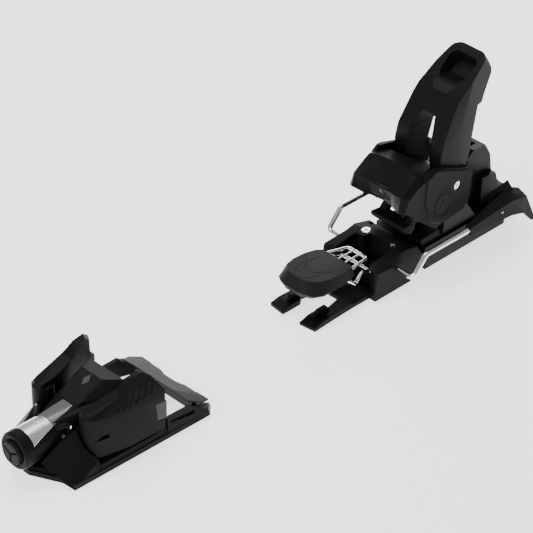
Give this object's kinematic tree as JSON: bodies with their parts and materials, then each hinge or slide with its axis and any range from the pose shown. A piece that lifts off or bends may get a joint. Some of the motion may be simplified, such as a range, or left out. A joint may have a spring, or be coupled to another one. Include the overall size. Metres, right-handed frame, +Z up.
{
  "type": "alpine ski binding",
  "caption": "Step-in alpine ski binding: toe piece with swinging wings and gliding plate, and heel piece with cup, lever and ski brake.",
  "frame": {"origin": "centre of the toe piece's mounting pattern, on the ski's top face", "axes": "+X back along the ski towards the heel piece, +Y to the skier's right, +Z up from the ski"},
  "size_m": [0.5834, 0.1092, 0.1804],
  "materials": {
    "black_plastic": "satin black moulded plastic",
    "dark_plastic": "dark grey matt plastic",
    "gloss_black": "smooth black",
    "strip_metal": "bright brushed",
    "window_glass": "smoked clear window",
    "bright_steel": "polished wire",
    "plain_steel": "plain steel",
    "black_metal": "black coated metal",
    "mark": "yellow setting mark",
    "grey_pad": "smooth grey pad",
    "soft_pad": "soft touch insert"
  },
  "bodies": {
    "ski_fixed": {"toe_base": "black_plastic", "left_tilt_pin": "bright_steel", "right_tilt_pin": "bright_steel", "heel_track": "black_plastic", "brake_block": "black_plastic", "block_screw_left": "bright_steel", "block_screw_right": "bright_steel"},
    "glide": {"glide_plate": "gloss_black"},
    "height_wheel": {"height_wheel": "dark_plastic"},
    "toe_head": {"toe_housing": "black_plastic", "nose_cap": "black_plastic", "tube_strip": "strip_metal", "toe_window": "window_glass", "visor": "dark_plastic", "left_wing_pin": "plain_steel", "right_wing_pin": "plain_steel"},
    "toe_setting_screw": {"toe_release_screw": "dark_plastic"},
    "toe_setting": {"toe_spring_seat": "plain_steel", "toe_indicator": "mark"},
    "toe_thrust": {"toe_piston": "plain_steel", "toe_spring": "plain_steel"},
    "left_wing": {"left_wing": "black_plastic", "left_wing_pad": "grey_pad"},
    "right_wing": {"right_wing": "black_plastic", "right_wing_pad": "grey_pad"},
    "brake_arms": {"brake_wire_left": "bright_steel", "brake_fin_left": "black_plastic", "brake_wire_right": "bright_steel", "brake_fin_right": "black_plastic"},
    "brake_pedal": {"brake_pedal": "dark_plastic", "pedal_link": "bright_steel", "pedal_loop": "bright_steel"},
    "carriage": {"carriage": "black_metal", "main_pin": "plain_steel"},
    "pressure_screw": {"pressure_screw": "bright_steel"},
    "heel_setting_screw": {"heel_release_screw": "plain_steel"},
    "heel_setting": {"heel_spring_seat": "plain_steel"},
    "heel_thrust": {"heel_piston": "plain_steel", "heel_spring": "plain_steel"},
    "heel_body": {"heel_cup": "black_plastic", "heel_side_left": "black_plastic", "heel_side_right": "black_plastic", "side_disc_left": "dark_plastic", "side_disc_right": "dark_plastic", "lever_pin_left": "bright_steel", "lever_pin_right": "bright_steel", "treadle": "dark_plastic"},
    "lever": {"lever": "black_plastic", "lever_pad": "soft_pad"}
  },
  "joints": [
    {"name": "glide_side", "type": "slide", "parent": "ski_fixed", "child": "glide", "axis": [0, 1, 0], "range_m": [-0.005, 0.005]},
    {"name": "head_tilt", "type": "hinge", "parent": "ski_fixed", "child": "toe_head", "pos_m": [-0.042, 0, 0.031], "axis": [0, -1, 0], "range_deg": [0, 3]},
    {"name": "wheel_turn", "type": "hinge", "parent": "ski_fixed", "child": "height_wheel", "pos_m": [0.014, 0, 0.008], "axis": [0, 0, 1], "range_deg": [0, 680]},
    {"name": "left_wing_open", "type": "hinge", "parent": "toe_head", "child": "left_wing", "pos_m": [-0.024, -0.029, 0.031], "axis": [0, 0, -1], "range_deg": [0, 25], "stiffness_Nm_per_rad": 6, "springref_deg": -11.46},
    {"name": "right_wing_open", "type": "hinge", "parent": "toe_head", "child": "right_wing", "pos_m": [-0.024, 0.029, 0.031], "axis": [0, 0, 1], "range_deg": [0, 25], "stiffness_Nm_per_rad": 6, "springref_deg": -11.46},
    {"name": "toe_setting_slide", "type": "slide", "parent": "toe_head", "child": "toe_setting", "axis": [1, 0, 0], "range_m": [0, 0.008]},
    {"name": "toe_screw_turn", "type": "hinge", "parent": "toe_head", "child": "toe_setting_screw", "pos_m": [-0.078, 0, 0.028], "axis": [1, 0, 0], "range_deg": [0, 1442]},
    {"name": "toe_thrust_slide", "type": "slide", "parent": "toe_head", "child": "toe_thrust", "axis": [-1, 0, 0], "range_m": [0, 0.004], "stiffness_N_per_m": 800, "springref_m": -0.01, "deforming": ["toe_spring"]},
    {"name": "brake_swing", "type": "hinge", "parent": "ski_fixed", "child": "brake_arms", "pos_m": [0.327, 0, 0.022], "axis": [0, 1, 0], "range_deg": [0, 62]},
    {"name": "pedal_rise", "type": "hinge", "parent": "ski_fixed", "child": "brake_pedal", "pos_m": [0.3085, 0, 0.022], "axis": [0, 1, 0], "range_deg": [0, 36]},
    {"name": "carriage_slide", "type": "slide", "parent": "ski_fixed", "child": "carriage", "axis": [1, 0, 0], "range_m": [-0.004, 0.006]},
    {"name": "pressure_turn", "type": "hinge", "parent": "carriage", "child": "pressure_screw", "pos_m": [0.45, 0, 0.0196], "axis": [1, 0, 0], "range_deg": [-361, 541]},
    {"name": "heel_open", "type": "hinge", "parent": "carriage", "child": "heel_body", "pos_m": [0.405, 0, 0.052], "axis": [0, 1, 0], "range_deg": [0, 36]},
    {"name": "lever_open", "type": "hinge", "parent": "heel_body", "child": "lever", "pos_m": [0.4, 0, 0.076], "axis": [0, 1, 0], "range_deg": [0, 22]},
    {"name": "heel_thrust_slide", "type": "slide", "parent": "carriage", "child": "heel_thrust", "axis": [1, 0, 0], "range_m": [0, 0.004], "deforming": ["heel_spring"]},
    {"name": "heel_setting_slide", "type": "slide", "parent": "carriage", "child": "heel_setting", "axis": [-1, 0, 0], "range_m": [0, 0.003]},
    {"name": "heel_screw_turn", "type": "hinge", "parent": "carriage", "child": "heel_setting_screw", "pos_m": [0.47, 0, 0.06], "axis": [1, 0, 0], "range_deg": [0, 1082]}
  ],
  "couplings": [
    {"joint": "wheel_turn", "follows": "head_tilt", "ratio": 226},
    {"joint": "toe_screw_turn", "follows": "toe_setting_slide", "rad_per_m": 3141.6},
    {"joint": "pedal_rise", "follows": "brake_swing", "ratio": 0.55},
    {"joint": "pressure_turn", "follows": "carriage_slide", "rad_per_m": 1570.8},
    {"joint": "lever_open", "follows": "heel_open", "ratio": 0.6},
    {"joint": "heel_thrust_slide", "follows": "heel_open", "m_per_rad": 0.006},
    {"joint": "heel_screw_turn", "follows": "heel_setting_slide", "rad_per_m": 6283.2}
  ]
}
